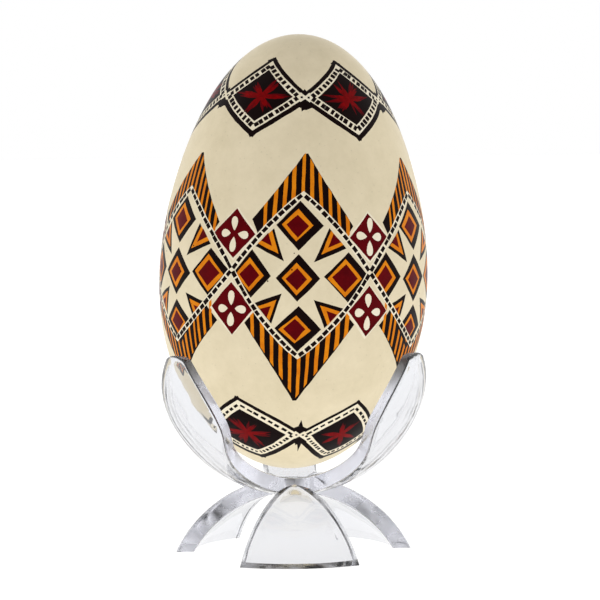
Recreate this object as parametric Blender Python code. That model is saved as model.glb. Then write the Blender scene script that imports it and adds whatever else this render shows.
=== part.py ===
"""Decorated blown goose egg on a one-piece clear display stand.

Metres, +Z up, origin on the surface the stand rests on, under the stand's axis.
The stand is two spherical shells back to back: an upward cup of three prongs and
a downward dome of three legs, turned 60 degrees from each other. The eggshell
stands in the cup, blunt end down, and leans a little to +X.
"""
import math

import bmesh
import bpy
from mathutils import Vector
from mathutils.geometry import delaunay_2d_cdt

MM = 0.001

# Egg
EGG_HEIGHT = 90.3 * MM
EGG_RADIUS = 27.65 * MM
EGG_TAPER = (-0.135, -0.012, 0.084)   # how the outline leaves a plain ellipse, towards the pointed end
EGG_BASE_Z = 17.4 * MM                # lowest point of the shell above the table
EGG_LEAN = math.radians(2.3)
EGG_PIVOT_Z = 46.0 * MM               # height at which the leaning axis crosses the stand's axis
SHELL_THICKNESS = 0.6 * MM
MEMBRANE_THICKNESS = 0.15 * MM
BLOW_HOLE_RADIUS = 1.5 * MM
GAP = 0.3 * MM                        # between touching pieces
EGG_SIDES = 40
EGG_RINGS = 24
PROFILE_STEPS = 400                   # fine steps that the egg's rings are picked from
POLE_CLEAR = 0.02 * MM                # the profile's last point this near the pole is dropped

# Stand: the cup and the dome, each a shell around its own centre
CUP_CENTRE_Z = 40.6 * MM
CUP_RADIUS = 28.7 * MM
CUP_FLOOR = 3.5 * MM                  # wall at the bottom of the cup
CUP_LIP = 2.5 * MM                    # wall at the prong tips
LIP_THINNED = 0.3 * MM                # taken off the inside at the tips, so they clear the shell
PRONG_TIP = math.radians(93.7)        # angle of the tips from straight down
PRONG_HALF = math.radians(11.4)       # half width of a prong, seen from the cup's centre
PRONG_SHOULDER = math.radians(8.8)    # extra half width at the shoulder
SHOULDER_AT = math.radians(65.0)
SHOULDER_BELOW = math.radians(16.0)   # how slowly the shoulder fades towards the floor
SIDES_MEET = math.radians(99.9)       # where the tapering sides would meet, above the tip
TIP_ROUND = math.radians(1.8)         # height of the rounded end
PRONG_STEPS = 22

DOME_CENTRE_Z = -12.1 * MM
DOME_RADIUS = 27.45 * MM
DOME_WALL = 3.35 * MM
LEG_FLARE = math.radians(34.0)        # half angle between a leg's edges in plan
LEG_APEX = 3.2 * MM                   # where those edges would meet
HUB_RADIUS = 4.5 * MM
LEG_OVERRUN = 1.5 * MM                # legs are made longer, then cut flat at the table
HUB_STEPS = 4
LEG_STEPS = 9

PRONG_AZIMUTHS = [math.radians(a) for a in (90, 210, 330)]
LEG_AZIMUTHS = [math.radians(a) for a in (30, 150, 270)]
THIRD = math.radians(60)              # half of the turn between one petal and the next
FACET = 3.0 * MM                      # size of the stand's facets
TIP_STEP = 0.3                        # radians between points across a petal's end
RIM_CLEAR = 0.55                      # share of a facet kept free inside the rim
WELD = 1e-7
SHARP_EDGE = math.radians(35)


def clear_scene():
    for obj in list(bpy.data.objects):
        bpy.data.objects.remove(obj, do_unlink=True)


def material(name, colour, roughness, metallic=0.0, transmission=0.0):
    mat = bpy.data.materials.new(name)
    mat.use_nodes = True
    shader = mat.node_tree.nodes["Principled BSDF"]
    shader.inputs["Base Color"].default_value = (*colour, 1.0)
    shader.inputs["Roughness"].default_value = roughness
    shader.inputs["Metallic"].default_value = metallic
    shader.inputs["Transmission Weight"].default_value = transmission
    return mat


def add_object(name, mesh_bm, mat):
    """Put a finished bmesh into the scene as one smooth-shaded object."""
    bmesh.ops.recalc_face_normals(mesh_bm, faces=mesh_bm.faces)
    mesh = bpy.data.meshes.new(name)
    mesh_bm.to_mesh(mesh)
    mesh_bm.free()
    mesh.shade_smooth()
    mesh.set_sharp_from_angle(angle=SHARP_EDGE)
    mesh.materials.append(mat)
    obj = bpy.data.objects.new(name, mesh)
    bpy.context.scene.collection.objects.link(obj)
    return obj


# ---------------------------------------------------------------- the egg

def egg_radius(t):
    """Outer radius at t, the fraction of the height from the blunt end."""
    u = 2.0 * t - 1.0
    a, b, c = EGG_TAPER
    return EGG_RADIUS * math.sqrt(max(0.0, 1.0 - u * u)) * (1.0 + a * u + b * u ** 2 + c * u ** 3)


def egg_profile(inset):
    """Points (radius, height) from the blow hole to the pointed pole, inset from the outer shell."""
    outer = []
    for i in range(1, PROFILE_STEPS):
        t = 0.5 - 0.5 * math.cos(math.pi * i / PROFILE_STEPS)
        outer.append(Vector((egg_radius(t), t * EGG_HEIGHT)))
    line = []
    for before, here, after in zip(outer, outer[1:], outer[2:]):
        along = (after - before).normalized()
        line.append(here + inset * Vector((-along.y, along.x)))
    line = [p for p in line if p.x > BLOW_HOLE_RADIUS or p.y > EGG_HEIGHT / 2]
    top = Vector((0.0, EGG_HEIGHT - inset))
    line = [p for p in line if p.y < top.y - POLE_CLEAR] + [top]
    # even steps along the arc
    lengths = [0.0]
    for p, q in zip(line, line[1:]):
        lengths.append(lengths[-1] + (q - p).length)
    points = []
    index = 0
    for ring in range(EGG_RINGS + 1):
        goal = lengths[-1] * ring / EGG_RINGS
        while index < len(line) - 2 and lengths[index + 1] < goal:
            index += 1
        span = lengths[index + 1] - lengths[index]
        points.append(line[index].lerp(line[index + 1], (goal - lengths[index]) / span))
    points[0].x = BLOW_HOLE_RADIUS
    return points


def hollow_egg(name, inset, thickness, mat):
    """A turned shell, open only at the blow hole in its blunt end."""
    outside = egg_profile(inset)
    inside = egg_profile(inset + thickness)
    bm = bmesh.new()

    def ring(point):
        z = point.y
        turn = 2.0 * math.pi / EGG_SIDES
        return [bm.verts.new((point.x * math.cos(k * turn), point.x * math.sin(k * turn), z))
                for k in range(EGG_SIDES)]

    def skin(points):
        rings = [ring(p) for p in points[:-1]]
        pole = bm.verts.new((0.0, 0.0, points[-1].y))
        for low, high in zip(rings, rings[1:]):
            for k in range(EGG_SIDES):
                n = (k + 1) % EGG_SIDES
                bm.faces.new((low[k], low[n], high[n], high[k]))
        for k in range(EGG_SIDES):
            bm.faces.new((rings[-1][k], rings[-1][(k + 1) % EGG_SIDES], pole))
        return rings[0]

    rim_out = skin(outside)
    rim_in = skin(inside)
    for k in range(EGG_SIDES):
        n = (k + 1) % EGG_SIDES
        bm.faces.new((rim_out[k], rim_out[n], rim_in[n], rim_in[k]))
    return add_object(name, bm, mat)


def make_egg():
    axis = bpy.data.objects.new("egg_axis", None)
    axis.location = (0.0, 0.0, EGG_PIVOT_Z)
    axis.rotation_euler = (0.0, EGG_LEAN, 0.0)
    bpy.context.scene.collection.objects.link(axis)

    shell_mat = material("goose_eggshell", (0.76, 0.69, 0.54), 0.35)
    skin_mat = material("papery_membrane", (0.85, 0.83, 0.76), 0.7)
    shell = hollow_egg("egg_shell", 0.0, SHELL_THICKNESS, shell_mat)
    lining = hollow_egg("shell_membrane", SHELL_THICKNESS + GAP, MEMBRANE_THICKNESS, skin_mat)
    for obj in (shell, lining):
        obj.parent = axis
        obj.location = (0.0, 0.0, EGG_BASE_Z - EGG_PIVOT_Z)


# -------------------------------------------------------------- the stand

def prong_outline():
    """One prong's edge: (angle from the pole, azimuth from the prong's own) from valley to tip."""
    def half_width(polar):
        if polar < SHOULDER_AT:
            return PRONG_HALF + PRONG_SHOULDER * math.exp(-((polar - SHOULDER_AT) / SHOULDER_BELOW) ** 2)
        taper = math.cos(0.5 * math.pi * (polar - SHOULDER_AT) / (SIDES_MEET - SHOULDER_AT))
        into_tip = max(0.0, (polar - PRONG_TIP) / TIP_ROUND + 1.0)
        return (PRONG_HALF + PRONG_SHOULDER) * taper * math.sqrt(max(0.0, 1.0 - into_tip ** 2))

    valley = math.asin(math.sin(PRONG_HALF) / math.sin(THIRD))
    edge = []
    for i in range(PRONG_STEPS):
        # the steps close up towards the rounded end and stop just short of its very tip
        polar = valley + (PRONG_TIP - valley) * math.sin(0.5 * math.pi * i / (PRONG_STEPS - 0.3))
        ratio = math.sin(half_width(polar)) / math.sin(polar)
        edge.append((polar, min(math.asin(min(1.0, ratio)), THIRD)))
    return edge


def leg_outline():
    """One leg's edge, from the hub's valley along the hub and out to past the foot."""
    edge = []
    reach = math.sqrt(DOME_RADIUS ** 2 - (DOME_CENTRE_Z + LEG_OVERRUN) ** 2)
    slope = math.tan(LEG_FLARE)
    # the leg's straight edge leaves the round hub where their plans cross
    a = 1.0 + slope ** 2
    b = -2.0 * slope ** 2 * LEG_APEX
    c = slope ** 2 * LEG_APEX ** 2 - HUB_RADIUS ** 2
    root = (-b + math.sqrt(b * b - 4.0 * a * c)) / (2.0 * a)
    root_turn = math.atan2(slope * (root - LEG_APEX), root)
    hub_polar = math.asin(HUB_RADIUS / DOME_RADIUS)
    for i in range(HUB_STEPS + 1):
        edge.append((hub_polar, THIRD + (root_turn - THIRD) * i / HUB_STEPS))
    c = slope ** 2 * LEG_APEX ** 2 - reach ** 2
    end = (-b + math.sqrt(b * b - 4.0 * a * c)) / (2.0 * a)
    for i in range(1, LEG_STEPS + 1):
        along = root + (end - root) * i / LEG_STEPS
        across = slope * (along - LEG_APEX)
        polar = math.asin(math.hypot(along, across) / DOME_RADIUS)
        edge.append((polar, math.atan2(across, along)))
    return edge


def flower(edge, azimuths):
    """Closed outline of three petals, as points (polar angle, azimuth) laid out flat."""
    loop = []
    tip_polar, tip_turn = edge[-1]
    tip_steps = math.ceil(2.0 * tip_turn / TIP_STEP)
    for azimuth in azimuths:
        rising = [(p, azimuth - t) for p, t in edge]
        across = [(tip_polar, azimuth - tip_turn + 2.0 * tip_turn * i / tip_steps)
                  for i in range(1, tip_steps)]
        falling = [(p, azimuth + t) for p, t in reversed(edge[1:])]
        loop += rising + across + falling
    return [Vector((p * math.cos(a), p * math.sin(a))) for p, a in loop]


def inside(point, loop):
    odd = False
    for p, q in zip(loop, loop[1:] + loop[:1]):
        if (p.y > point.y) != (q.y > point.y):
            if point.x < p.x + (q.x - p.x) * (point.y - p.y) / (q.y - p.y):
                odd = not odd
    return odd


def fill_points(loop, step):
    """Points inside the outline on a triangular grid, clear of its edge."""
    reach = max(p.length for p in loop)
    rows = int(reach / step) + 1
    points = []
    for row in range(-rows, rows + 1):
        shift = 0.5 * step * (row % 2)
        for column in range(-rows, rows + 1):
            point = Vector((column * step + shift, row * step * math.sqrt(0.75)))
            if inside(point, loop) and min((point - p).length for p in loop) > RIM_CLEAR * step:
                points.append(point)
    return points


def petal_shell(loop, centre_z, side, outer_radius, wall):
    """A closed shell over the flat outline; side is -1 for a cup and +1 for a dome."""
    step = FACET / outer_radius
    coords = loop + fill_points(loop, step)
    rim = list(range(len(loop)))
    verts, _, tris, *_ = delaunay_2d_cdt(coords, [], [rim], 1, WELD)
    bm = bmesh.new()
    skins = []
    for layer in (0, 1):
        skin = []
        for flat in verts:
            polar = flat.length
            azimuth = math.atan2(flat.y, flat.x)
            radius = outer_radius - layer * wall(polar)
            skin.append(bm.verts.new((radius * math.sin(polar) * math.cos(azimuth),
                                      radius * math.sin(polar) * math.sin(azimuth),
                                      centre_z + side * radius * math.cos(polar))))
        skins.append(skin)
    outer, inner = skins
    for tri in tris:
        bm.faces.new([outer[i] for i in tri])
        bm.faces.new([inner[i] for i in reversed(tri)])
    for i in rim:
        j = (i + 1) % len(rim)
        bm.faces.new((outer[i], inner[i], inner[j], outer[j]))
    return bm


def make_stand():
    clear = material("clear_polystyrene", (0.95, 0.96, 0.98), 0.05, transmission=1.0)

    def cup_wall(polar):
        thinned = LIP_THINNED * max(0.0, (polar - SHOULDER_AT) / (PRONG_TIP - SHOULDER_AT))
        return CUP_FLOOR + (CUP_LIP - CUP_FLOOR) * polar / math.radians(90) - thinned

    def dome_wall(_polar):
        return DOME_WALL

    cup = petal_shell(flower(prong_outline(), PRONG_AZIMUTHS), CUP_CENTRE_Z, -1, CUP_RADIUS, cup_wall)
    dome = petal_shell(flower(leg_outline(), LEG_AZIMUTHS), DOME_CENTRE_Z, 1, DOME_RADIUS, dome_wall)
    cut = bmesh.ops.bisect_plane(dome, geom=dome.verts[:] + dome.edges[:] + dome.faces[:],
                                 plane_co=(0, 0, 0), plane_no=(0, 0, -1), clear_outer=True)
    rim_edges = [e for e in cut["geom_cut"] if isinstance(e, bmesh.types.BMEdge)]
    bmesh.ops.contextual_create(dome, geom=rim_edges)

    legs = add_object("legs_to_join", dome, clear)
    legs.hide_render = True
    legs.display_type = "WIRE"
    stand = add_object("egg_stand", cup, clear)
    join = stand.modifiers.new("join_legs", "BOOLEAN")
    join.operation = "UNION"
    join.solver = "EXACT"
    join.object = legs


clear_scene()
make_egg()
make_stand()
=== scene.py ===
"""Looks of a decorated goose egg (a pysanka) standing in a clear moulded stand.

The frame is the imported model's own, in metres with +Z up. Named sizes are in millimetres where
no unit is given. A point of the pattern is its longitude in degrees (0 faces -Y, growing to +X)
and its distance up the shell from the blunt end.
"""
import math
import random

import bmesh
import bpy
import numpy as np
from mathutils import Matrix, Vector, noise
from mathutils.geometry import delaunay_2d_cdt


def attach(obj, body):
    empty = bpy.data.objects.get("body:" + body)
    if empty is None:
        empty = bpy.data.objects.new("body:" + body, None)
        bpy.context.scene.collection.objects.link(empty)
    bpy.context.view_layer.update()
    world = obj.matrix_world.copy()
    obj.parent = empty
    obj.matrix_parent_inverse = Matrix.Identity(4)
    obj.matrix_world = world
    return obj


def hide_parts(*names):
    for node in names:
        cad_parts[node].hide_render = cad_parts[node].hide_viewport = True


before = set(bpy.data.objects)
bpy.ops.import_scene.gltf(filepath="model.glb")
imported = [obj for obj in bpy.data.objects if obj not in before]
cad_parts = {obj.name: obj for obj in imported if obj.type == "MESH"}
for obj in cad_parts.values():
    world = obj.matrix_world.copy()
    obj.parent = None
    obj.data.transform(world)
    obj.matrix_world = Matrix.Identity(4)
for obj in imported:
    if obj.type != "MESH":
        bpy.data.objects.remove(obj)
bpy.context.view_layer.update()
MM = 0.001


# ------------------------------------------------------------------ the shell's form
# A blown goose egg, so only the hard chalky shell is left: 0.6 mm of calcite, emptied
# through one drilled hole in the blunt end. It stands blunt end down and leans a little.
EGG_HEIGHT = 90.3
EGG_RADIUS = 27.65
EGG_TAPER = (-0.135, -0.012, 0.084)
EGG_BASE_Z = 17.4
EGG_LEAN = math.radians(2.3)
EGG_PIVOT_Z = 46.0
SHELL_THICKNESS = 0.6
BLOW_HOLE_RADIUS = 1.5


def egg_radius(t):
    """Outer radius in millimetres at t, the fraction of the height from the blunt end."""
    u = 2.0 * t - 1.0
    a, b, c = EGG_TAPER
    taper = 1.0 + a * u + b * u ** 2 + c * u ** 3
    return EGG_RADIUS * np.sqrt(np.maximum(0.0, 1.0 - u * u)) * taper


OUTLINE_STEPS = 4000
outline_t = 0.5 - 0.5 * np.cos(np.linspace(0.0, math.pi, OUTLINE_STEPS + 1))
outline_r = egg_radius(outline_t)
outline_z = outline_t * EGG_HEIGHT
outline_s = np.concatenate([[0.0], np.cumsum(np.hypot(np.diff(outline_r), np.diff(outline_z)))])
SHELL_ARC = float(outline_s[-1])


def girth(s):
    """The shell's radius at a distance up the shell."""
    return float(np.interp(s, outline_s, outline_r))


def shell_points(longitude, s, inset=0.0):
    """Places, in metres, of points on the shell or a little inside it."""
    longitude, s = np.asarray(longitude, float), np.asarray(s, float)
    step = 0.02                   # short enough to give the outline's slope
    r = np.interp(s, outline_s, outline_r)
    z = np.interp(s, outline_s, outline_z)
    dr = np.interp(s + step, outline_s, outline_r) - np.interp(s - step, outline_s, outline_r)
    dz = np.interp(s + step, outline_s, outline_z) - np.interp(s - step, outline_s, outline_z)
    size = np.hypot(dr, dz)
    out, up = dz / size, -dr / size
    r, z = r - inset * out, z - inset * up + EGG_BASE_Z - EGG_PIVOT_Z
    turn = np.radians(longitude - 90.0)
    lean = np.array([[math.cos(EGG_LEAN), 0, math.sin(EGG_LEAN)],
                     [0, 1, 0],
                     [-math.sin(EGG_LEAN), 0, math.cos(EGG_LEAN)]])
    places = np.stack([r * np.cos(turn), r * np.sin(turn), z], -1) @ lean.T
    return (places + (0, 0, EGG_PIVOT_Z)) * MM


# ------------------------------------------------------------------ the drawn pattern
# Wax-resist writing: each area is covered with beeswax before the next, darker dye bath,
# so the order is undyed shell, orange, dark red and black. Every edge is drawn by hand with
# a small funnel of hot wax, so lines waver by about a tenth of a millimetre.
RUNG_START_ERROR = 0.10
RUNG_LONG_ERROR = 0.14
RUNG_WIDE_ERROR = 0.08
RUNG_ASIDE_ERROR = 0.05
CORNER_ERROR = (0.45, 0.2)        # degrees round and millimetres up
marks = []
hand = random.Random(11)


def lay(dye, outline):
    """One closed patch of colour, over all the patches laid before it."""
    marks.append((dye, outline))


def near(value, spread):
    """A hand-set value: never quite what was meant."""
    return value + hand.uniform(-spread, spread)


def over_shell(a, b):
    """From a to b in true millimetres over the shell, as (round, up)."""
    return math.radians(b[0] - a[0]) * girth((a[1] + b[1]) / 2), b[1] - a[1]


def moved(p, across, up):
    """p moved by true millimetres over the shell."""
    return (p[0] + math.degrees(across / girth(p[1])), p[1] + up)


def length_of(line):
    """The length of a line, in millimetres over the shell."""
    return sum(math.hypot(*over_shell(a, b)) for a, b in zip(line, line[1:]))


def stretch(line, start, end):
    """The part of a line between two distances along it."""
    part, run = [], 0.0
    for a, b in zip(line, line[1:]):
        length = math.hypot(*over_shell(a, b))
        low, high = max(start - run, 0.0), min(end - run, length)
        if low < high:
            ends = [(a[0] + (b[0] - a[0]) * d / length, a[1] + (b[1] - a[1]) * d / length)
                    for d in (low, high)]
            part += ends if not part else ends[1:]
        run += length
    return part


def ribbon(line, wide, aside=0.0):
    """Outline of a line drawn with a given width, moved aside to its left."""
    left, right = [], []
    for i, p in enumerate(line):
        dx, dy = over_shell(line[max(i - 1, 0)], line[min(i + 1, len(line) - 1)])
        size = math.hypot(dx, dy)
        nx, ny = -dy / size, dx / size
        left.append(moved(p, nx * (aside + wide / 2), ny * (aside + wide / 2)))
        right.append(moved(p, nx * (aside - wide / 2), ny * (aside - wide / 2)))
    return left + right[::-1]


def dashes(line, wide, dash, gap, margin):
    """Black rungs left between the two white rails of a ladder."""
    room = length_of(line) - 2 * margin
    count = max(1, round((room + gap) / (dash + gap)))
    pitch = (room + gap) / count
    for i in range(count):
        start = margin + i * pitch + near(0.0, RUNG_START_ERROR)
        long = near(pitch - gap, RUNG_LONG_ERROR)
        part = stretch(line, start, start + long)
        if len(part) > 1:
            lay("black", ribbon(part, near(wide, RUNG_WIDE_ERROR), near(0.0, RUNG_ASIDE_ERROR)))


def bowed(a, b, bow, steps=8):
    """A line from a to b over the shell that bows outward, away from a's own height."""
    points = []
    for i in range(steps + 1):
        x = i / steps
        s = a[1] + (b[1] - a[1]) * x * (1 - bow * (1 - x))
        points.append((a[0] + (b[0] - a[0]) * x, s))
    return points


def diamond(centre, half, half_up):
    """Four corners, hand-set: half is in degrees of longitude and half_up in millimetres."""
    x, s = centre
    corners = [(x, s + half_up), (x + half, s), (x, s - half_up), (x - half, s)]
    return [(near(cx, CORNER_ERROR[0]), near(cs, CORNER_ERROR[1])) for cx, cs in corners]


def run_on(line, extra):
    """The line made longer at both ends, so that two of them meet in a square corner."""
    ends = []
    for a, b in ((line[1], line[0]), (line[-2], line[-1])):
        dx, dy = over_shell(a, b)
        size = math.hypot(dx, dy)
        ends.append(moved(b, extra * dx / size, extra * dy / size))
    return [ends[0]] + line[1:-1] + [ends[1]]


def towards(point, target, share):
    """The point moved a share of the way to the target."""
    return (point[0] + (target[0] - point[0]) * share, point[1] + (target[1] - point[1]) * share)


# ---- the broad middle band: six star panels between crossing ladders
PANELS = 6
PANEL_STEP = 360.0 / PANELS
LADDER_TOP = 72.1
LADDER_BOTTOM = 39.1
LADDER_CROSSING = 56.4
LADDER_WIDE = 1.24
RUNG_WIDE = 0.80
RUNG_LONG = 1.25
RUNG_GAP = 0.30
RUNG_MARGIN = 0.4
BOW_UP = 0.30
BOW_DOWN = 0.38
PEAK_TOP = 80.4
STRIPE_WIDE = 1.62                # degrees
STRIPE_NARROWEST = 0.8            # degrees
BLUNT = 0.9                       # half the width, in degrees, of a peak's blunted point
# stripes above and below, their pitch in degrees, and how far the lower peak drops
FRONT_STRIPES = (11, 12, 4.05, 9.5)
OTHER_STRIPES = (13, 14, 3.35, 7.7)


def chevron(centre, ladder, tip, shoulders, aside, stripes, pitch):
    """A striped peak standing on a ladder; shoulders are its two outer corners."""
    left, right = shoulders
    blunt = [(tip[0] - BLUNT, tip[1] - 0.5 * BLUNT), (tip[0] + BLUNT, tip[1] - 0.35)]
    base = [p for p in reversed(ladder) if left[0] + 2.6 < p[0] < right[0] - 2.2]
    lay("black", [left, *blunt, right] + base)

    def far(x):
        """Height of the peak's sloping edge at a longitude."""
        a, b = (left, tip) if x < tip[0] else (tip, right)
        return a[1] + (b[1] - a[1]) * (x - a[0]) / (b[0] - a[0])

    xs, ys = [p[0] for p in ladder], [p[1] for p in ladder]
    for i in range(stripes):
        x = centre + aside + (i - 0.5 * (stripes - 1)) * pitch + near(0.0, 0.3)
        half = near(STRIPE_WIDE * pitch / FRONT_STRIPES[2], 0.25) / 2
        slant = near(0.0, 0.35)
        low, high = max(x - half, left[0] + 2.0), min(x + half, right[0] - 1.0)
        if high - low < STRIPE_NARROWEST:
            continue
        foot = [(x + slant, float(np.interp(x, xs, ys))) for x in (high, low)]
        lay("orange", [(low, far(low)), (high, far(high))] + foot)


PETAL_POINTS = 14
PETAL_LEAN = 0.7                  # how much broader a petal is at its outer end
PETAL_FULLNESS = 1.12
UPRIGHT_PETAL = (2.95, 1.6)       # length and width
LEVEL_PETAL = (2.3, 1.8)


def petal(centre, turn, long, wide, start):
    """A drop of wax drawn outward from a flower's centre; turn is from straight up."""
    outline = []
    for i in range(PETAL_POINTS):
        a = 2.0 * math.pi * i / PETAL_POINTS
        along = start + long * (1 - math.cos(a)) / 2
        across = wide / 2 * math.sin(a) * abs(math.sin(a / 2)) ** PETAL_LEAN * PETAL_FULLNESS
        dx = along * math.sin(turn) + across * math.cos(turn)
        dy = along * math.cos(turn) - across * math.sin(turn)
        outline.append(moved(centre, dx, dy))
    return outline


def flower(centre, half, half_up):
    """A dark red diamond, rimmed with white, that holds four petals of bare shell."""
    lay("white", diamond(centre, half + 0.8, half_up + 0.36))
    lay("dark_red", diamond(centre, half, half_up))
    for i in range(4):
        turn = i * math.pi / 2 + near(0.0, 0.12)
        long, wide = LEVEL_PETAL if i % 2 else UPRIGHT_PETAL
        lay("white", petal(centre, turn, near(long, 0.15), near(wide, 0.12), near(0.75, 0.15)))


crossings = [(PANEL_STEP * (k + 0.5) + (near(0.0, 0.5) if k else 0.0),
              LADDER_CROSSING + near(0.0, 0.2)) for k in range(PANELS)]
LEANS = (0.0, 4.0, 2.0, 0.0, -2.0, -4.0)      # degrees that each panel's lower point is aside
SHORTER = 1.9                                 # the side and back panels end higher than the front
panels = []
for k in range(PANELS):
    right = crossings[k]
    left = (crossings[k - 1][0] - (360.0 if k == 0 else 0.0), crossings[k - 1][1])
    middle = (left[0] + right[0]) / 2
    top = (near(middle, 0.3), near(LADDER_TOP, 0.2))
    bottom = (near(middle - 1.0, 0.4) + LEANS[k],
              near(LADDER_BOTTOM, 0.3) + (SHORTER if k else 0.0))
    upper = bowed(top, left, BOW_UP)[::-1] + bowed(top, right, BOW_UP)[1:]
    lower = bowed(bottom, left, BOW_DOWN)[::-1] + bowed(bottom, right, BOW_DOWN)[1:]
    panels.append((middle, left, right, top, bottom, upper, lower))

for middle, left, right, top, bottom, upper, lower in panels:
    is_front = abs(middle) < 5.0
    above, below, pitch, drop = FRONT_STRIPES if is_front else OTHER_STRIPES
    chevron(middle, upper, (near(middle + 1.2, 0.4), near(PEAK_TOP, 0.3)),
            ((middle - 22.2, near(66.3, 0.2)), (middle + 22.2, near(65.5, 0.2))),
            -0.3, above, pitch)
    chevron(middle, lower, (bottom[0] - 0.3, bottom[1] - drop),
            ((middle - 23.8, near(45.8, 0.2)), (middle + 23.4, near(45.8, 0.2))),
            -2.1, below, pitch)
for middle, left, right, top, bottom, upper, lower in panels:
    flower((right[0] + near(0.1, 0.3), 63.5), 9.9, 4.95)
    flower((right[0] + near(-0.2, 0.3), 48.5), 9.8, 5.25)

# Inside a panel, an eight-pointed star of bare shell is left between five diamonds and four
# corner triangles, each of them black, ringed in orange round a dark red heart. A diamond is
# its centre in the panel, its half width and half height, and the shares of ring and heart.
# A corner is two points beside the ladder and then its tip.
DIAMONDS = [((-1.7, 65.7), (10.2, 4.95), (0.68, 0.47)),
            ((-20.9, 55.5), (8.6, 5.0), (0.69, 0.50)),
            ((-1.4, 55.0), (9.4, 4.8), (0.67, 0.47)),
            ((19.4, 55.4), (10.4, 5.1), (0.75, 0.54)),
            ((-1.3, 44.9), (9.8, 4.6), (0.66, 0.49))]
RING_ASIDE = (-0.9, -0.12)        # the rings sit a little to the left of the black's middle
CORNERS = [((-12.2, 65.0), (-20.0, 61.2), (-7.6, 58.3)),
           ((11.0, 65.3), (18.7, 61.2), (4.6, 58.4)),
           ((-19.2, 49.8), (-12.0, 45.8), (-8.0, 51.9)),
           ((17.8, 49.2), (10.2, 45.2), (5.2, 50.8))]
SPECKS = 5
for middle, left, right, top, bottom, upper, lower in panels:
    for (x, s), (half, half_up), (ring_share, heart_share) in DIAMONDS:
        centre = (middle + x, s)
        lay("black", diamond(centre, half, half_up))
        centre = (centre[0] + RING_ASIDE[0], s + RING_ASIDE[1])
        lay("orange", diamond(centre, half * ring_share, half_up * ring_share))
        lay("dark_red", diamond(centre, half * heart_share, half_up * heart_share))
    for a, b, tip in CORNERS:
        foot = ((a[0] + b[0]) / 2, (a[1] + b[1]) / 2)
        for dye, share in (("black", 0.0), ("orange", 0.30), ("dark_red", 0.60)):
            shape = [towards(p, foot, share) for p in (a, b, tip)]
            lay(dye, [(middle + near(x, 0.2), near(s, 0.1)) for x, s in shape])
    for i in range(SPECKS):
        x, s = middle + near(0.0, 15.0), near(54.8, 6.0)
        wide = hand.uniform(0.08, 0.2)
        spot = [moved((x, s), wide * math.cos(a), wide * math.sin(a))
                for a in np.linspace(0, 2 * math.pi, 7)[:-1]]
        lay("black", spot)

# The ladders are written last and run over the edges of all that they frame.
for middle, left, right, top, bottom, upper, lower in panels:
    for line in (upper, lower):
        lay("white", ribbon(line, LADDER_WIDE))
for middle, left, right, top, bottom, upper, lower in panels:
    half = len(upper) // 2
    for line in (upper[:half + 1], upper[half:], lower[:half + 1], lower[half:]):
        dashes(line, RUNG_WIDE, RUNG_LONG, RUNG_GAP, RUNG_MARGIN)


# ---- the narrow bands near both ends: a chain of framed diamonds with a scratched star
STAR_RAYS = 6
STAR_REACH = 0.64                 # of the diamond's half height
STAR_HEART = 0.9                  # radius
BRISTLES = 6
SHORT_BRISTLE = 0.75
STAR_STRETCH = 1.3                # a star is wider than it is high
BELLY = 0.62                      # how far along a stroke it is widest


def brushed_star(centre, reach):
    """A star of coarse strokes from the middle: long dark ones, then short bright ones."""
    for i in range(STAR_RAYS):
        turn = 2 * math.pi * i / STAR_RAYS + near(0.6, 0.2)
        full = hand.uniform(0.75, 1.0)
        for bristle in range(BRISTLES):
            under = bristle < BRISTLES // 2
            angle = turn + near(0.0, 0.24)
            long = reach * full * hand.uniform(0.7, 1.0) * (1.0 if under else SHORT_BRISTLE)
            wide = hand.uniform(0.22, 0.46)
            tip = moved(centre, STAR_STRETCH * long * math.sin(angle), long * math.cos(angle))
            belly = moved(centre, 0.8 * long * math.sin(angle), BELLY * long * math.cos(angle))
            x, y = math.cos(angle) * wide, -math.sin(angle) * wide
            lay("dark_red" if under else "star_red",
                [moved(centre, x, y), moved(belly, x, y), tip,
                 moved(belly, -x, -y), moved(centre, -x, -y)])
    lay("star_red", [moved(centre, STAR_HEART * math.cos(a), STAR_HEART * math.sin(a))
                     for a in np.linspace(0, 2 * math.pi, 9)[:-1]])


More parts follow.
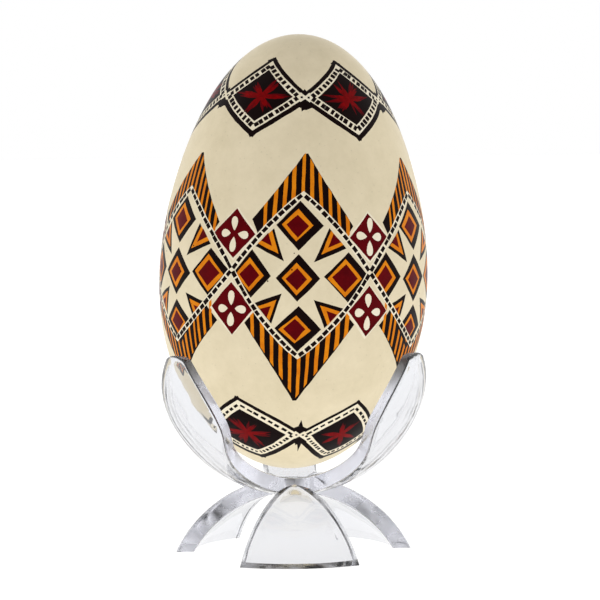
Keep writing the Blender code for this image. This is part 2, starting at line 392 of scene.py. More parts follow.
def framed_chain(joints, heights, bows, lines, frame_share, spikes, rungs):
    """Diamonds corner to corner round the egg, each in a white ladder frame outlined in black.

    Heights are of the joints, the upper corners and the lower corners. Bows, lines, spikes and
    rungs are each given for the upper side and then for the lower side.
    """
    middle_s, top_s, bottom_s = heights
    cells = []
    for i, x in enumerate(joints):
        far = joints[(i + 1) % len(joints)] + (360.0 if i + 1 == len(joints) else 0.0)
        cells.append((x, far, near((x + far) / 2, 0.5)))
    drawn = []
    for x, far, centre in cells:
        top, bottom = (centre, near(top_s, 0.3)), (near(centre, 0.5), near(bottom_s, 0.3))
        near_joint, far_joint = (x, middle_s), (far, middle_s)
        edges = [bowed(top, near_joint, bows[0])[::-1], bowed(top, far_joint, bows[0]),
                 bowed(bottom, far_joint, bows[1])[::-1], bowed(bottom, near_joint, bows[1])]
        drawn.append((centre, edges))
    for centre, edges in drawn:
        for i, edge in enumerate(edges):
            wide = near(lines[i // 2], 0.08)
            lay("black", ribbon(run_on(edge, wide), 2 * wide))
    for centre, edges in drawn:
        lay("white", [p for edge in edges for p in edge[:-1]])
    for x in joints:
        # the white frames cross here as an X, with a black spike above and below and two pips
        for rise in (0.95, -0.95):
            lay("white", ribbon([(x - 3.4, middle_s - rise), (x + 3.4, middle_s + rise)], 0.55))
        up = [(x - 5.4, middle_s + 1.9), (x - 1.6, middle_s + 0.5 * spikes[0] + 0.4),
              (x - 0.3, middle_s + spikes[0]), (x + 1.4, middle_s + 0.5 * spikes[0] + 0.3),
              (x + 5.2, middle_s + 1.8), (x + 0.1, middle_s + 0.4)]
        down = [(x - 6.4, middle_s - 2.0), (x, middle_s - 0.4), (x + 6.4, middle_s - 2.0),
                (x + 2.4, middle_s - 2.6), (x + 0.8, middle_s - spikes[1]),
                (x - 0.7, middle_s - 2.9), (x - 2.0, middle_s - 3.3), (x - 2.4, middle_s - 2.5)]
        lay("black", up)
        lay("black", down)
        for turn in (-1, 1):
            lay("black", ribbon([(x + turn * 1.5, middle_s), (x + turn * 3.0, middle_s)], 0.45))
    for centre, edges in drawn:
        inner = []
        for i, edge in enumerate(edges):
            inner += [towards(p, (centre, middle_s), frame_share) for p in edge[:-1]]
            rung_line = [towards(p, (centre, middle_s), frame_share / 2) for p in edge]
            wide, dash, gap = rungs[i // 2]
            dashes(rung_line, near(wide, 0.08), near(dash, 0.12), near(gap, 0.05), 0.25)
        lay("black", inner)
        brushed_star((near(centre, 0.8), middle_s), (top_s - middle_s) * STAR_REACH)


framed_chain(joints=[near(PANEL_STEP * k + 0.6, 0.7) for k in range(PANELS)],
             heights=(92.6, 101.3, 84.7), bows=(0.0, 0.0), lines=(0.85, 1.0),
             frame_share=0.265, spikes=(2.0, 2.9),
             rungs=((1.05, 0.88, 0.36), (1.05, 0.88, 0.36)))
framed_chain(joints=(4.0, 66.0, 122.0, 178.0, 233.0, 293.0),
             heights=(20.1, 28.5, 12.4), bows=(0.05, 0.60), lines=(0.75, 1.1),
             frame_share=0.255, spikes=(4.4, 5.6),
             rungs=((0.55, 1.10, 0.50), (0.75, 0.62, 0.40)))


# ------------------------------------------------------------------ the shell's mesh
# The patches are laid over one another on the shell unrolled flat, cut where they cross,
# and every sliver of shell takes the dye of the topmost patch that covers it.
FLAT_SCALE = math.radians(1.0) * float(outline_r.max())     # flat millimetres to a degree
SEAM = -180.0                                               # the flat sheet's cut, at the back
BAND_LOW = 8.5                                              # the caps beyond these are plain rings
BAND_HIGH = 106.5
EDGE_STEP = 0.55
FIELD_STEP = 1.6
RIM_STEP = 0.9
WELD = 0.002
WAVER = 0.075
SLOW_WAVE = 2.6
QUICK_WAVE = 0.8
HOLE_EDGE = math.radians(40)      # only the drilled hole's edge is sharper than this
SHEET_WIDE = 360.0 * FLAT_SCALE
WAVER_SEED = 11
noise.seed_set(WAVER_SEED)        # otherwise the noise would be seeded by the clock


def wavering(outline, number):
    """The outline in flat millimetres, with a point every half millimetre and a hand's waver."""
    points = []
    for a, b in zip(outline, outline[1:] + outline[:1]):
        steps = max(1, math.ceil(math.hypot(*over_shell(a, b)) / EDGE_STEP))
        for i in range(steps):
            p = towards(a, b, i / steps)
            x, y = p[0] * FLAT_SCALE, p[1]
            slow = noise.noise_vector(Vector((x / SLOW_WAVE, y / SLOW_WAVE, number * 3.7)))
            quick = noise.noise_vector(Vector((x / QUICK_WAVE, y / QUICK_WAVE, number * 5.3)))
            p = moved(p, WAVER * (slow.x + 0.4 * quick.x), WAVER * (slow.y + 0.4 * quick.y))
            points.append(((p[0] - SEAM) * FLAT_SCALE, p[1]))
    return points


sheet_points, sheet_edges, patches = [], [], []
for number, (dye, outline) in enumerate(marks):
    flat = wavering(outline, number)
    for turn in (-2, -1, 0, 1):
        copy = [(x + turn * SHEET_WIDE, y) for x, y in flat]
        if max(x for x, _ in copy) < -0.5 or min(x for x, _ in copy) > SHEET_WIDE + 0.5:
            continue
        start, count = len(sheet_points), len(copy)
        sheet_points += copy
        sheet_edges += [(start + i, start + (i + 1) % count) for i in range(count)]
        patches.append((dye, np.array(copy)))

rim_count = round(2 * math.pi * girth(BAND_LOW) / RIM_STEP)
for y in (BAND_LOW, BAND_HIGH):
    start = len(sheet_points)
    sheet_points += [(SHEET_WIDE * i / rim_count, y) for i in range(rim_count + 1)]
    sheet_edges += [(start + i, start + i + 1) for i in range(rim_count)]
BAND_TALL = BAND_HIGH - BAND_LOW
seam_count = round(BAND_TALL / FIELD_STEP)
for x in (0.0, SHEET_WIDE):
    start = len(sheet_points)
    sheet_points += [(x, BAND_LOW + BAND_TALL * i / seam_count) for i in range(seam_count + 1)]
    sheet_edges += [(start + i, start + i + 1) for i in range(seam_count)]
columns, rows = int(SHEET_WIDE / FIELD_STEP), int(BAND_TALL / FIELD_STEP)
for j in range(1, rows):
    for i in range(1, columns):
        sheet_points.append((SHEET_WIDE * (i + 0.5 * (j % 2) - 0.25) / columns,
                             BAND_LOW + BAND_TALL * j / rows))

flat_verts, _, flat_faces, *_ = delaunay_2d_cdt([Vector(p) for p in sheet_points], sheet_edges,
                                                [], 0, 1e-4)

DYES = ["shell", "white", "orange", "dark_red", "star_red", "black"]
flat_array = np.array([tuple(v) for v in flat_verts])
middles = flat_array[np.array(flat_faces)].mean(1)
dye_of_face = np.zeros(len(middles), int)
for dye, outline in patches:
    low, high = outline.min(0), outline.max(0)
    beside = np.flatnonzero(((middles > low) & (middles < high)).all(1))
    x, y = middles[beside, 0, None], middles[beside, 1, None]
    (ax, ay), (bx, by) = outline.T, np.roll(outline, -1, 0).T
    edge_rise = np.where(by == ay, 1.0, by - ay)
    crosses = ((ay > y) != (by > y)) & (x < ax + (bx - ax) * (y - ay) / edge_rise)
    dye_of_face[beside[crosses.sum(1) % 2 == 1]] = DYES.index(dye)

bm = bmesh.new()
places = shell_points(flat_array[:, 0] / FLAT_SCALE + SEAM, flat_array[:, 1])
sheet_verts = [bm.verts.new(p) for p in places]
for face, middle, dye in zip(flat_faces, middles, dye_of_face):
    if 0.0 < middle[0] < SHEET_WIDE and BAND_LOW < middle[1] < BAND_HIGH:
        bm.faces.new([sheet_verts[i] for i in face]).material_index = int(dye)
bmesh.ops.delete(bm, geom=[v for v in bm.verts if not v.link_faces], context="VERTS")
bmesh.ops.remove_doubles(bm, verts=bm.verts[:], dist=WELD * MM)


# the caps, the drilled hole's edge and the inside wall
POLE_CLEAR = 0.6                  # the last ring stops this far short of the sharp end's pole
POLE_SHORT = 0.0001


def ring(s, inset=0.0):
    longitudes = [SEAM + 360.0 * i / rim_count for i in range(rim_count)]
    return [bm.verts.new(p) for p in shell_points(longitudes, [s] * rim_count, inset)]


def join_rings(low, high):
    for i in range(rim_count):
        j = (i + 1) % rim_count
        bm.faces.new((low[i], low[j], high[j], high[i]))


def wall_of_rings(heights, inset=0.0):
    """Rings joined up the shell; the inner wall, which has an inset, faces the other way."""
    rings = [ring(s, inset) for s in heights]
    for low, high in zip(rings, rings[1:]):
        join_rings(*((high, low) if inset else (low, high)))
    return rings


def close_at_pole(last, inset=0.0):
    pole = bm.verts.new(shell_points([0.0], [SHELL_ARC - POLE_SHORT], inset)[0])
    for i in range(rim_count):
        j = (i + 1) % rim_count
        bm.faces.new((last[j], last[i], pole) if inset else (last[i], last[j], pole))


blunt_half = slice(0, OUTLINE_STEPS // 2)
hole_s = float(np.interp(BLOW_HOLE_RADIUS, outline_r[blunt_half], outline_s[blunt_half]))
low_rings = wall_of_rings(np.linspace(hole_s, BAND_LOW, 9))
high_rings = wall_of_rings(np.linspace(BAND_HIGH, SHELL_ARC - POLE_CLEAR, 10))
close_at_pole(high_rings[-1])
inner_rings = wall_of_rings(np.linspace(hole_s, SHELL_ARC - POLE_CLEAR, 60), SHELL_THICKNESS)
close_at_pole(inner_rings[-1], SHELL_THICKNESS)
join_rings(inner_rings[0], low_rings[0])
bmesh.ops.remove_doubles(bm, verts=bm.verts[:], dist=WELD * MM)
bmesh.ops.recalc_face_normals(bm, faces=bm.faces[:])
shell_mesh = bpy.data.meshes.new("egg_shell_drawn")
bm.to_mesh(shell_mesh)
bm.free()
shell_mesh.shade_smooth()
shell_mesh.set_sharp_from_angle(angle=HOLE_EDGE)
egg = bpy.data.objects.new("egg_shell_drawn", shell_mesh)
bpy.context.scene.collection.objects.link(egg)


# ------------------------------------------------------------------ the shell's finish
# Dyed calcite wiped with a little oil: nearly matt, with a faint pale bloom seen edge on. The
# dyes sit in the shell itself, so they are cloudy where the bath took unevenly, and the fine
# pores still show through them as pits, each darkened a little with painted shade.
PORE_PITCH = 1.3
PORE_DEPTH = 0.02
GRAIN = 0.45


def linear(hex_colour):
    """A colour given as sRGB hex, in the linear values that shaders use."""
    values = []
    for i in (1, 3, 5):
        c = int(hex_colour[i:i + 2], 16) / 255.0
        values.append(c / 12.92 if c <= 0.04045 else ((c + 0.055) / 1.055) ** 2.4)
    return (*values, 1.0)


def node(tree, kind, settings=(), inputs=(), links=()):
    """Adds a node with its settings and input values, and links from other nodes' outputs."""
    made = tree.nodes.new(kind)
    for name, value in dict(settings).items():
        setattr(made, name, value)
    for name, value in dict(inputs).items():
        made.inputs[name].default_value = value
    for name, source in dict(links).items():
        tree.links.new(source, made.inputs[name])
    return made


def new_material(name):
    mat = bpy.data.materials.new(name)
    mat.use_nodes = True
    tree = mat.node_tree
    tree.nodes.clear()
    return mat, tree


def dyed_shell(name, colour, cloud_colour, cloud_mm, roughness):
    """Goose shell in one dye: the cloud colour shows in patches of about the size given."""
    mat, tree = new_material(name)
    place = node(tree, "ShaderNodeTexCoord").outputs["Object"]
    cloud = node(tree, "ShaderNodeTexNoise",
                 inputs={"Scale": 1 / (cloud_mm * MM), "Detail": 8.0, "Roughness": 0.72},
                 links={"Vector": place})
    spread = node(tree, "ShaderNodeMapRange", inputs={"From Min": 0.35, "From Max": 0.68},
                  links={"Value": cloud.outputs["Fac"]})
    colours = node(tree, "ShaderNodeMix", settings={"data_type": "RGBA"},
                   links={"Factor": spread.outputs["Result"]})
    colours.inputs["A"].default_value = linear(colour)
    colours.inputs["B"].default_value = linear(cloud_colour)
    # goose shell has about 50 pores to the square centimetre, each a fine pit
    pores = node(tree, "ShaderNodeTexVoronoi", inputs={"Scale": 1 / (PORE_PITCH * MM)},
                 links={"Vector": place})
    pit = node(tree, "ShaderNodeMapRange", inputs={"From Min": 0.0, "From Max": 0.16},
               links={"Value": pores.outputs["Distance"]})
    grain = node(tree, "ShaderNodeTexNoise", inputs={"Scale": 1 / (GRAIN * MM), "Detail": 3.0},
                 links={"Vector": place})
    height = node(tree, "ShaderNodeMath", settings={"operation": "ADD"},
                  links={0: pit.outputs["Result"], 1: grain.outputs["Fac"]})
    bump = node(tree, "ShaderNodeBump", inputs={"Strength": 0.35, "Distance": PORE_DEPTH * MM},
                links={"Height": height.outputs["Value"]})
    # painted shade: inside each pore's pit the colour is also darkened, to 0.8 of the dye at its
    # middle
    dark = node(tree, "ShaderNodeMapRange", inputs={"From Max": 0.14, "To Min": 0.80},
                links={"Value": pores.outputs["Distance"]})
    shaded = node(tree, "ShaderNodeMix", settings={"data_type": "RGBA", "blend_type": "MULTIPLY"},
                  inputs={"Factor": 1.0})
    tree.links.new(colours.outputs["Result"], shaded.inputs["A"])
    tree.links.new(dark.outputs["Result"], shaded.inputs["B"])
    gloss = node(tree, "ShaderNodeMapRange",
                 inputs={"To Min": roughness - 0.05, "To Max": roughness + 0.06},
                 links={"Value": grain.outputs["Fac"]})
    shader = node(tree, "ShaderNodeBsdfPrincipled",
                  inputs={"IOR": 1.45, "Specular IOR Level": 0.025,
                          "Sheen Weight": 0.16, "Sheen Roughness": 0.35})
    tree.links.new(shaded.outputs["Result"], shader.inputs["Base Color"])
    tree.links.new(gloss.outputs["Result"], shader.inputs["Roughness"])
    tree.links.new(bump.outputs["Normal"], shader.inputs["Normal"])
    node(tree, "ShaderNodeOutputMaterial", links={"Surface": shader.outputs["BSDF"]})
    return mat


# each dye, its cloud colour, the size of the clouds in millimetres, and the roughness
finishes = {
    "shell": dyed_shell("undyed_goose_shell", "#DCCFB0", "#D0C3A3", 9.0, 0.42),
    "white": dyed_shell("bare_shell_under_first_wax", "#E6DDC6", "#DCD0B2", 5.0, 0.40),
    "orange": dyed_shell("orange_dyed_shell", "#DB8412", "#C66A0C", 3.0, 0.40),
    "dark_red": dyed_shell("dark_red_dyed_shell", "#5E0208", "#4A0106", 4.0, 0.38),
    "star_red": dyed_shell("brushed_red_dye", "#800104", "#560002", 1.2, 0.40),
    "black": dyed_shell("black_dyed_shell", "#0E0505", "#140807", 4.0, 0.40),
}
for dye in DYES:
    shell_mesh.materials.append(finishes[dye])
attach(egg, "egg")
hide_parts("egg_shell")


# ------------------------------------------------------------------ the membrane
# The dried skin that lines the shell: two papery layers of protein fibre, left in when the
# egg was blown. It shows only through the drilled hole.
FIBRE_MAT = 0.6
FIBRE_RELIEF = 0.05


def papery_skin():
    """Dried membrane: matt and off-white, with matted fibres and faint wrinkles."""
    mat, tree = new_material("dried_egg_membrane")
    place = node(tree, "ShaderNodeTexCoord").outputs["Object"]
    fibres = node(tree, "ShaderNodeTexNoise",
                  inputs={"Scale": 1 / (FIBRE_MAT * MM), "Detail": 6.0, "Distortion": 2.0},
                  links={"Vector": place})
    colours = node(tree, "ShaderNodeMix", settings={"data_type": "RGBA"},
                   links={"Factor": fibres.outputs["Fac"]})
    colours.inputs["A"].default_value = linear("#D9D2C0")
    colours.inputs["B"].default_value = linear("#EFEADC")
    bump = node(tree, "ShaderNodeBump", inputs={"Strength": 0.6, "Distance": FIBRE_RELIEF * MM},
                links={"Height": fibres.outputs["Fac"]})
    shader = node(tree, "ShaderNodeBsdfPrincipled", inputs={"Roughness": 0.75, "IOR": 1.45})
    tree.links.new(colours.outputs["Result"], shader.inputs["Base Color"])
    tree.links.new(bump.outputs["Normal"], shader.inputs["Normal"])
    node(tree, "ShaderNodeOutputMaterial", links={"Surface": shader.outputs["BSDF"]})
    return mat


membrane_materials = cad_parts["shell_membrane"].data.materials
membrane_materials.clear()
membrane_materials.append(papery_skin())


# ------------------------------------------------------------------ the stand
# One injection moulding in crystal polystyrene: a cup of three prongs on a dome of three legs,
# turned 60 degrees from each other, with the tool's small radius on its rims. Lengths are in
# millimetres, and angles are from the pole of the cup's or the dome's own sphere.
CUP_CENTRE_Z = 40.6
CUP_RADIUS = 28.7
CUP_FLOOR = 3.5
CUP_LIP = 2.5
LIP_THINNED = 0.3                 # more taken off the wall towards a prong's tip
PRONG_TIP = math.radians(93.7)
PRONG_HALF = math.radians(11.4)
PRONG_SHOULDER = math.radians(8.8)
SHOULDER_AT = math.radians(65.0)
SHOULDER_BELOW = math.radians(16.0)
SIDES_MEET = math.radians(99.9)
TIP_ROUND = math.radians(1.8)
DOME_CENTRE_Z = -12.1
DOME_RADIUS = 27.45
DOME_WALL = 3.35
LEG_FLARE = math.radians(34.0)
LEG_APEX = 3.2
HUB_RADIUS = 4.5
LEG_OVERRUN = 1.5
PRONG_AZIMUTHS = [math.radians(a) for a in (90, 210, 330)]
LEG_AZIMUTHS = [math.radians(a) for a in (30, 150, 270)]
THIRD = math.radians(60)
EDGE_RADIUS = 0.35
RIM_BENDS = 3
FACET = 1.3
MITRE_LIMIT = 0.35                # keeps an inset outline's sharp corners from reaching too far
CREASE = math.radians(32)


def prong_outline(steps=46):
    """One prong's edge: (angle from the pole, azimuth from the prong's own) from valley to tip."""
    def half_width(polar):
        if polar < SHOULDER_AT:
            swell = math.exp(-((polar - SHOULDER_AT) / SHOULDER_BELOW) ** 2)
            return PRONG_HALF + PRONG_SHOULDER * swell
        taper = math.cos(0.5 * math.pi * (polar - SHOULDER_AT) / (SIDES_MEET - SHOULDER_AT))
        into_tip = max(0.0, (polar - PRONG_TIP) / TIP_ROUND + 1.0)
        return (PRONG_HALF + PRONG_SHOULDER) * taper * math.sqrt(max(0.0, 1.0 - into_tip ** 2))

    valley = math.asin(math.sin(PRONG_HALF) / math.sin(THIRD))
    edge = []
    for i in range(steps):
        polar = valley + (PRONG_TIP - valley) * math.sin(0.5 * math.pi * i / (steps - 0.3))
        ratio = math.sin(half_width(polar)) / math.sin(polar)
        edge.append((polar, min(math.asin(min(1.0, ratio)), THIRD)))
    return edge


def leg_outline(hub_steps=8, steps=26):
    """One leg's edge, from the hub's valley along the hub and out to past the foot."""
    reach = math.sqrt(DOME_RADIUS ** 2 - (DOME_CENTRE_Z + LEG_OVERRUN) ** 2)
    slope = math.tan(LEG_FLARE)
    a = 1.0 + slope ** 2
    b = -2.0 * slope ** 2 * LEG_APEX

    def crossing(radius):
        """How far out a leg's straight edge crosses a circle about the stand's axis."""
        c = slope ** 2 * LEG_APEX ** 2 - radius ** 2
        return (-b + math.sqrt(b * b - 4.0 * a * c)) / (2.0 * a)

    root, end = crossing(HUB_RADIUS), crossing(reach)
    root_turn = math.atan2(slope * (root - LEG_APEX), root)
    hub_polar = math.asin(HUB_RADIUS / DOME_RADIUS)
    edge = [(hub_polar, THIRD + (root_turn - THIRD) * i / hub_steps) for i in range(hub_steps + 1)]
    for i in range(1, steps + 1):
        along = root + (end - root) * i / steps
        across = slope * (along - LEG_APEX)
        edge.append((math.asin(math.hypot(along, across) / DOME_RADIUS), math.atan2(across, along)))
    return edge


def petals(edge, azimuths, tip_step=0.1):
    """Closed outline of three petals, laid out flat with the pole in the middle."""
    loop = []
    tip_polar, tip_turn = edge[-1]
    tip_steps = math.ceil(2.0 * tip_turn / tip_step)
    for azimuth in azimuths:
        rising = [(p, azimuth - t) for p, t in edge]
        across = [(tip_polar, azimuth - tip_turn + 2.0 * tip_turn * i / tip_steps)
                  for i in range(1, tip_steps)]
        falling = [(p, azimuth + t) for p, t in reversed(edge[1:])]
        loop += rising + across + falling
    return [Vector((p * math.cos(a), p * math.sin(a))) for p, a in loop]


def on_sphere(flat):
    """The direction that a flat point stands for."""
    polar, azimuth = flat.length, math.atan2(flat.y, flat.x)
    out = math.sin(polar)
    return Vector((out * math.cos(azimuth), out * math.sin(azimuth), math.cos(polar)))


def flat_of(direction):
    """The flat point that stands for a direction."""
    polar = math.acos(max(-1.0, min(1.0, direction.normalized().z)))
    azimuth = math.atan2(direction.y, direction.x)
    return Vector((polar * math.cos(azimuth), polar * math.sin(azimuth)))


def drawn_in(loop, distance):
    """The outline moved inward by an angle, measured on the sphere."""
    dirs = [on_sphere(p) for p in loop]
    moved_in = []
    for i, here in enumerate(dirs):
        before, after = dirs[i - 1], dirs[(i + 1) % len(dirs)]
        first = here.cross((here - before).normalized()).normalized()
        second = here.cross((after - here).normalized()).normalized()
        corner = (first + second).normalized()
        reach = distance / max(MITRE_LIMIT, corner.dot(second))
        moved_in.append(flat_of(here + corner * reach))
    return moved_in


def inside(point, loop):
    """Whether a flat point lies within a closed outline."""
    odd = False
    for p, q in zip(loop, loop[1:] + loop[:1]):
        if (p.y > point.y) != (q.y > point.y):
            if point.x < p.x + (q.x - p.x) * (point.y - p.y) / (q.y - p.y):
                odd = not odd
    return odd


def moulded_shell(name, loop, centre_z, side, outer_radius, wall):
    """A closed shell over the flat outline, its rim rounded; side is -1 for a cup, 1 for a dome."""
    round_off = EDGE_RADIUS / outer_radius
    inset_loop = drawn_in(loop, round_off)
    step = FACET / outer_radius
    reach = max(p.length for p in loop)
    count = int(reach / step) + 1
    grid = []
    for row in range(-count, count + 1):
        for column in range(-count, count + 1):
            point = Vector((column * step + 0.5 * step * (row % 2),
                            row * step * math.sqrt(0.75)))
            if not inside(point, inset_loop):
                continue
            if min((point - p).length for p in inset_loop) > 0.5 * step:
                grid.append(point)
    rim = list(range(len(loop)))
    flats, _, tris, *_ = delaunay_2d_cdt(inset_loop + grid, [], [rim], 1, 1e-7)
    shell = bmesh.new()

    def vert(flat, depth):
        """A new vertex at a flat point, so far under the sphere's own surface."""
        radius = outer_radius - depth
        d = on_sphere(flat)
        place = Vector((radius * d.x, radius * d.y, centre_z + side * radius * d.z))
        return shell.verts.new(place * MM)

    outer = [vert(f, 0.0) for f in flats]
    inner = [vert(f, wall(f.length)) for f in flats]
    for tri in tris:
        shell.faces.new([outer[i] for i in tri])
        shell.faces.new([inner[i] for i in reversed(tri)])
    rings = [[outer[i] for i in rim]]
    for i in range(1, RIM_BENDS + 1):
        turn = 0.5 * math.pi * i / RIM_BENDS
        out = drawn_in(loop, round_off * (1 - math.sin(turn))) if i < RIM_BENDS else loop
        rings.append([vert(f, EDGE_RADIUS * (1 - math.cos(turn))) for f in out])
    for i in range(RIM_BENDS):
        turn = 0.5 * math.pi * i / RIM_BENDS
        out = drawn_in(loop, round_off * (1 - math.cos(turn))) if i else loop
        rings.append([vert(f, wall(g.length) - EDGE_RADIUS * (1 - math.sin(turn)))
                      for f, g in zip(out, loop)])
    rings.append([inner[i] for i in rim])
    for near_ring, far_ring in zip(rings, rings[1:]):
        for i in rim:
            j = (i + 1) % len(rim)
            shell.faces.new((near_ring[i], far_ring[i], far_ring[j], near_ring[j]))
    bmesh.ops.recalc_face_normals(shell, faces=shell.faces[:])
    if side > 0:
        # the legs are cut off level and closed, which makes the flat feet
        cut = bmesh.ops.bisect_plane(shell, geom=shell.verts[:] + shell.edges[:] + shell.faces[:],
                                     plane_co=(0, 0, 0), plane_no=(0, 0, -1), clear_outer=True)
        rim_edges = [e for e in cut["geom_cut"] if isinstance(e, bmesh.types.BMEdge)]
        bmesh.ops.contextual_create(shell, geom=rim_edges)
    mesh = bpy.data.meshes.new(name)
    shell.to_mesh(mesh)
    shell.free()
    obj = bpy.data.objects.new(name, mesh)
    bpy.context.scene.collection.objects.link(obj)
    return obj


def cup_wall(polar):
    """The cup's wall, thinner towards the tips of the prongs."""
    thinned = LIP_THINNED * max(0.0, (polar - SHOULDER_AT) / (PRONG_TIP - SHOULDER_AT))
    return CUP_FLOOR + (CUP_LIP - CUP_FLOOR) * polar / math.radians(90) - thinned


stand = moulded_shell("clear_stand", petals(prong_outline(), PRONG_AZIMUTHS), CUP_CENTRE_Z, -1,
                      CUP_RADIUS, cup_wall)
legs = moulded_shell("clear_legs", petals(leg_outline(), LEG_AZIMUTHS), DOME_CENTRE_Z, 1,
                     DOME_RADIUS, lambda polar: DOME_WALL)
join = stand.modifiers.new("one_moulding", "BOOLEAN")
join.operation = "UNION"
join.solver = "EXACT"
join.object = legs
bpy.context.view_layer.update()
whole = bpy.data.meshes.new_from_object(stand.evaluated_get(bpy.context.evaluated_depsgraph_get()))
stand.modifiers.clear()
stand.data = whole
bpy.data.objects.remove(legs)
whole.shade_smooth()
whole.set_sharp_from_angle(angle=CREASE)

# The broad faces take the mould's polish, which gives them clear, slightly rippled sight
# through. The edges are wiped and handled, so they scatter light and look a pale lilac grey.
FLOW_RIPPLE = 7.0
RIPPLE_DEPTH = 0.25
SATIN_PATCH = 4.5
JOIN_Z = 15.0                     # height at which the dome's top gives way to the cup
EDGE_FACING = 0.6                 # a face that looks along its sphere less than this is an edge


def crystal_polystyrene(name, colour, smoothest, roughest):
    """Clear plastic with a faint ripple from its flow, of one roughness or patchy between two."""
    mat, tree = new_material(name)
    place = node(tree, "ShaderNodeTexCoord").outputs["Object"]
    ripple = node(tree, "ShaderNodeTexNoise",
                  inputs={"Scale": 1 / (FLOW_RIPPLE * MM), "Detail": 1.0, "Distortion": 0.6},
                  links={"Vector": place})
    bump = node(tree, "ShaderNodeBump", inputs={"Strength": 0.25, "Distance": RIPPLE_DEPTH * MM},
                links={"Height": ripple.outputs["Fac"]})
    shader = node(tree, "ShaderNodeBsdfPrincipled",
                  inputs={"Base Color": linear(colour), "Roughness": smoothest, "IOR": 1.59,
                          "Transmission Weight": 1.0})
    if roughest > smoothest:
        patch = node(tree, "ShaderNodeTexNoise",
                     inputs={"Scale": 1 / (SATIN_PATCH * MM), "Detail": 2.0},
                     links={"Vector": place})
        satin = node(tree, "ShaderNodeMapRange",
                     inputs={"From Min": 0.40, "From Max": 0.60,
                             "To Min": smoothest, "To Max": roughest},
                     links={"Value": patch.outputs["Fac"]})
        tree.links.new(satin.outputs["Result"], shader.inputs["Roughness"])
    tree.links.new(bump.outputs["Normal"], shader.inputs["Normal"])
    node(tree, "ShaderNodeOutputMaterial", links={"Surface": shader.outputs["BSDF"]})
    return mat


POLISHED, SATIN = 0, 1
whole.materials.clear()
whole.materials.append(crystal_polystyrene("polished_crystal_polystyrene", "#E1E2E5", 0.02, 0.02))
whole.materials.append(crystal_polystyrene("satin_edge_of_crystal_polystyrene", "#E2E3EC",
                                           0.10, 0.52))
for face in whole.polygons:
    centre_z = CUP_CENTRE_Z if face.center.z > JOIN_Z * MM else DOME_CENTRE_Z
    outward = (face.center - Vector((0.0, 0.0, centre_z * MM))).normalized()
    face.material_index = SATIN if abs(outward.dot(face.normal)) < EDGE_FACING else POLISHED
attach(stand, "stand")
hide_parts("egg_stand")
stand.visible_shadow = False      # clear plastic on a lit table casts no shadow that shows
stand.visible_diffuse = False


# ------------------------------------------------------------------ the table
# A plain pale sheet that glows of itself, as painted fill light, so that nothing stands in its
# own shadow, and wide enough to meet the white surround unseen.
TABLE_RADIUS = 4.0                # metres
TABLE_BELOW = 0.0002              # metres, so that it never shares a plane with the feet
table_mesh = bpy.data.meshes.new("table_top")
table_bm = bmesh.new()
bmesh.ops.create_circle(table_bm, cap_ends=True, segments=64, radius=TABLE_RADIUS)
for v in table_bm.verts:
    v.co.z = -TABLE_BELOW
table_bm.to_mesh(table_mesh)
table_bm.free()
table = bpy.data.objects.new("table_top", table_mesh)
bpy.context.scene.collection.objects.link(table)


def glowing_table():
    """Matt and glowing with painted light: white where it is seen, and a little stronger where it
    lights things.
    """
    mat, tree = new_material("glowing_table_painted_light")
    seen = node(tree, "ShaderNodeLightPath")
    # painted light: the table is no lamp, yet it glows, and glows more for the rays that light the
    # egg from below
    glow = node(tree, "ShaderNodeMapRange", inputs={"To Min": 0.80, "To Max": 0.95},
                links={"Value": seen.outputs["Is Diffuse Ray"]})
    shader = node(tree, "ShaderNodeBsdfPrincipled",
                  inputs={"Base Color": linear("#A0A0A0"), "Roughness": 0.7,
                          "Specular IOR Level": 0.1, "Emission Color": linear("#FFFFFF")})
    tree.links.new(glow.outputs["Result"], shader.inputs["Emission Strength"])
    node(tree, "ShaderNodeOutputMaterial", links={"Surface": shader.outputs["BSDF"]})
    return mat


table_mesh.materials.append(glowing_table())


# ------------------------------------------------------------------ light
# A white product tent. What shines and what is seen through the plastic find it white behind
# and grey on the camera's side. What is matt is lit more strongly, and least from the top.
world = bpy.data.worlds.new("white_tent")
bpy.context.scene.world = world
world.use_nodes = True
tree = world.node_tree
tree.nodes.clear()
where = node(tree, "ShaderNodeTexCoord")
parts = node(tree, "ShaderNodeSeparateXYZ", links={"Vector": where.outputs["Generated"]})
behind = node(tree, "ShaderNodeMapRange",
              inputs={"From Min": -1.0, "From Max": 0.35, "To Min": 0.30, "To Max": 1.0},
              links={"Value": parts.outputs["Y"]})
tent = node(tree, "ShaderNodeMix", settings={"data_type": "RGBA"},
            links={"Factor": behind.outputs["Result"]})
tent.inputs["A"].default_value = linear("#8E8FA0")
tent.inputs["B"].default_value = linear("#FFFFFF")
seen = node(tree, "ShaderNodeLightPath")
shown = node(tree, "ShaderNodeMix", settings={"data_type": "RGBA"},
             links={"Factor": seen.outputs["Is Camera Ray"]})
tree.links.new(tent.outputs["Result"], shown.inputs["A"])
shown.inputs["B"].default_value = linear("#FFFFFF")
backdrop = node(tree, "ShaderNodeMapRange",
                inputs={"From Min": -0.3, "From Max": 0.3, "To Min": 1.42, "To Max": 2.6},
                links={"Value": parts.outputs["Y"]})
ceiling = node(tree, "ShaderNodeMapRange", inputs={"To Min": 1.0, "To Max": 0.25},
               links={"Value": parts.outputs["Z"]})
soft = node(tree, "ShaderNodeMath", settings={"operation": "MULTIPLY"},
            links={0: backdrop.outputs["Result"], 1: ceiling.outputs["Result"]})
extra = node(tree, "ShaderNodeMath", settings={"operation": "SUBTRACT"}, inputs={1: 1.0},
             links={0: soft.outputs["Value"]})
strength = node(tree, "ShaderNodeMath", settings={"operation": "MULTIPLY_ADD"}, inputs={2: 1.0},
                links={0: extra.outputs["Value"], 1: seen.outputs["Is Diffuse Ray"]})
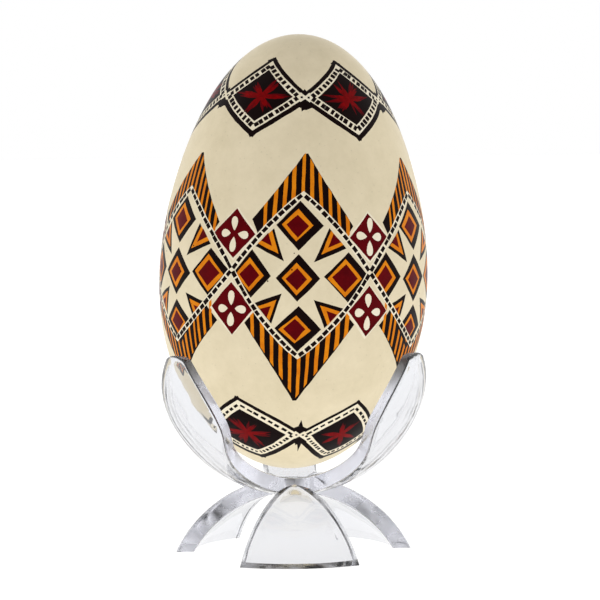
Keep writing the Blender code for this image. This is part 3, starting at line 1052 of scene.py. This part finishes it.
background = node(tree, "ShaderNodeBackground", links={"Strength": strength.outputs["Value"]})
tree.links.new(shown.outputs["Result"], background.inputs["Color"])
node(tree, "ShaderNodeOutputWorld", links={"Surface": background.outputs["Background"]})


EGG_HEART = Vector((0.0, 0.0, 0.055))


def softbox(name, place, size, watts):
    """A square soft light aimed at the egg, which leaves no highlight on it."""
    light = bpy.data.lights.new(name, "AREA")
    light.shape = "SQUARE"
    light.size = size
    light.energy = watts
    obj = bpy.data.objects.new(name, light)
    bpy.context.scene.collection.objects.link(obj)
    obj.location = place
    obj.rotation_mode = "QUATERNION"
    obj.rotation_quaternion = (Vector(place) - EGG_HEART).to_track_quat("Z", "Y")
    obj.visible_glossy = False


softbox("softbox_left", (-0.55, -0.65, 0.35), 0.5, 0.55)
softbox("softbox_right", (0.55, -0.65, 0.35), 0.5, 0.55)
softbox("softbox_low", (0.0, -0.6, 0.03), 0.3, 0.25)

BOUNCES = 32                      # light runs far inside the clear walls
scene = bpy.context.scene
scene.cycles.max_bounces = BOUNCES
scene.cycles.transmission_bounces = BOUNCES
scene.view_settings.view_transform = "Standard"
scene.view_settings.look = "None"


# ------------------------------------------------------------------ camera
# Level with the egg, a little above, and a few degrees round to the left.
CAMERA_DISTANCE = 0.600           # metres
CAMERA_ELEVATION = math.radians(4.24)
CAMERA_TURN = math.radians(-3.18)
CAMERA_ROLL = math.radians(-0.52)
CAMERA_LENS = 172.8               # millimetres
CAMERA_SENSOR = 36.0
FRAMING = (0.00178, 0.00249)      # metres that the aim is right of and above the egg's middle
egg_middle = Vector((0.0, 0.0, 0.050))
back = Vector((math.sin(CAMERA_TURN) * math.cos(CAMERA_ELEVATION),
               -math.cos(CAMERA_TURN) * math.cos(CAMERA_ELEVATION), math.sin(CAMERA_ELEVATION)))
place = egg_middle + back * CAMERA_DISTANCE
side = Vector((math.cos(CAMERA_TURN), math.sin(CAMERA_TURN), 0.0))
aim = egg_middle + side * FRAMING[0] + back.cross(side) * FRAMING[1]
camera = bpy.data.objects.new("camera", bpy.data.cameras.new("camera"))
bpy.context.scene.collection.objects.link(camera)
camera.data.sensor_width = CAMERA_SENSOR
camera.data.lens = CAMERA_LENS
camera.location = place
camera.rotation_mode = "QUATERNION"
roll = Matrix.Rotation(CAMERA_ROLL, 3, "Z").to_quaternion()
camera.rotation_quaternion = (place - aim).to_track_quat("Z", "Y") @ roll
camera.data.clip_start, camera.data.clip_end = 0.01, 50.0
scene.camera = camera
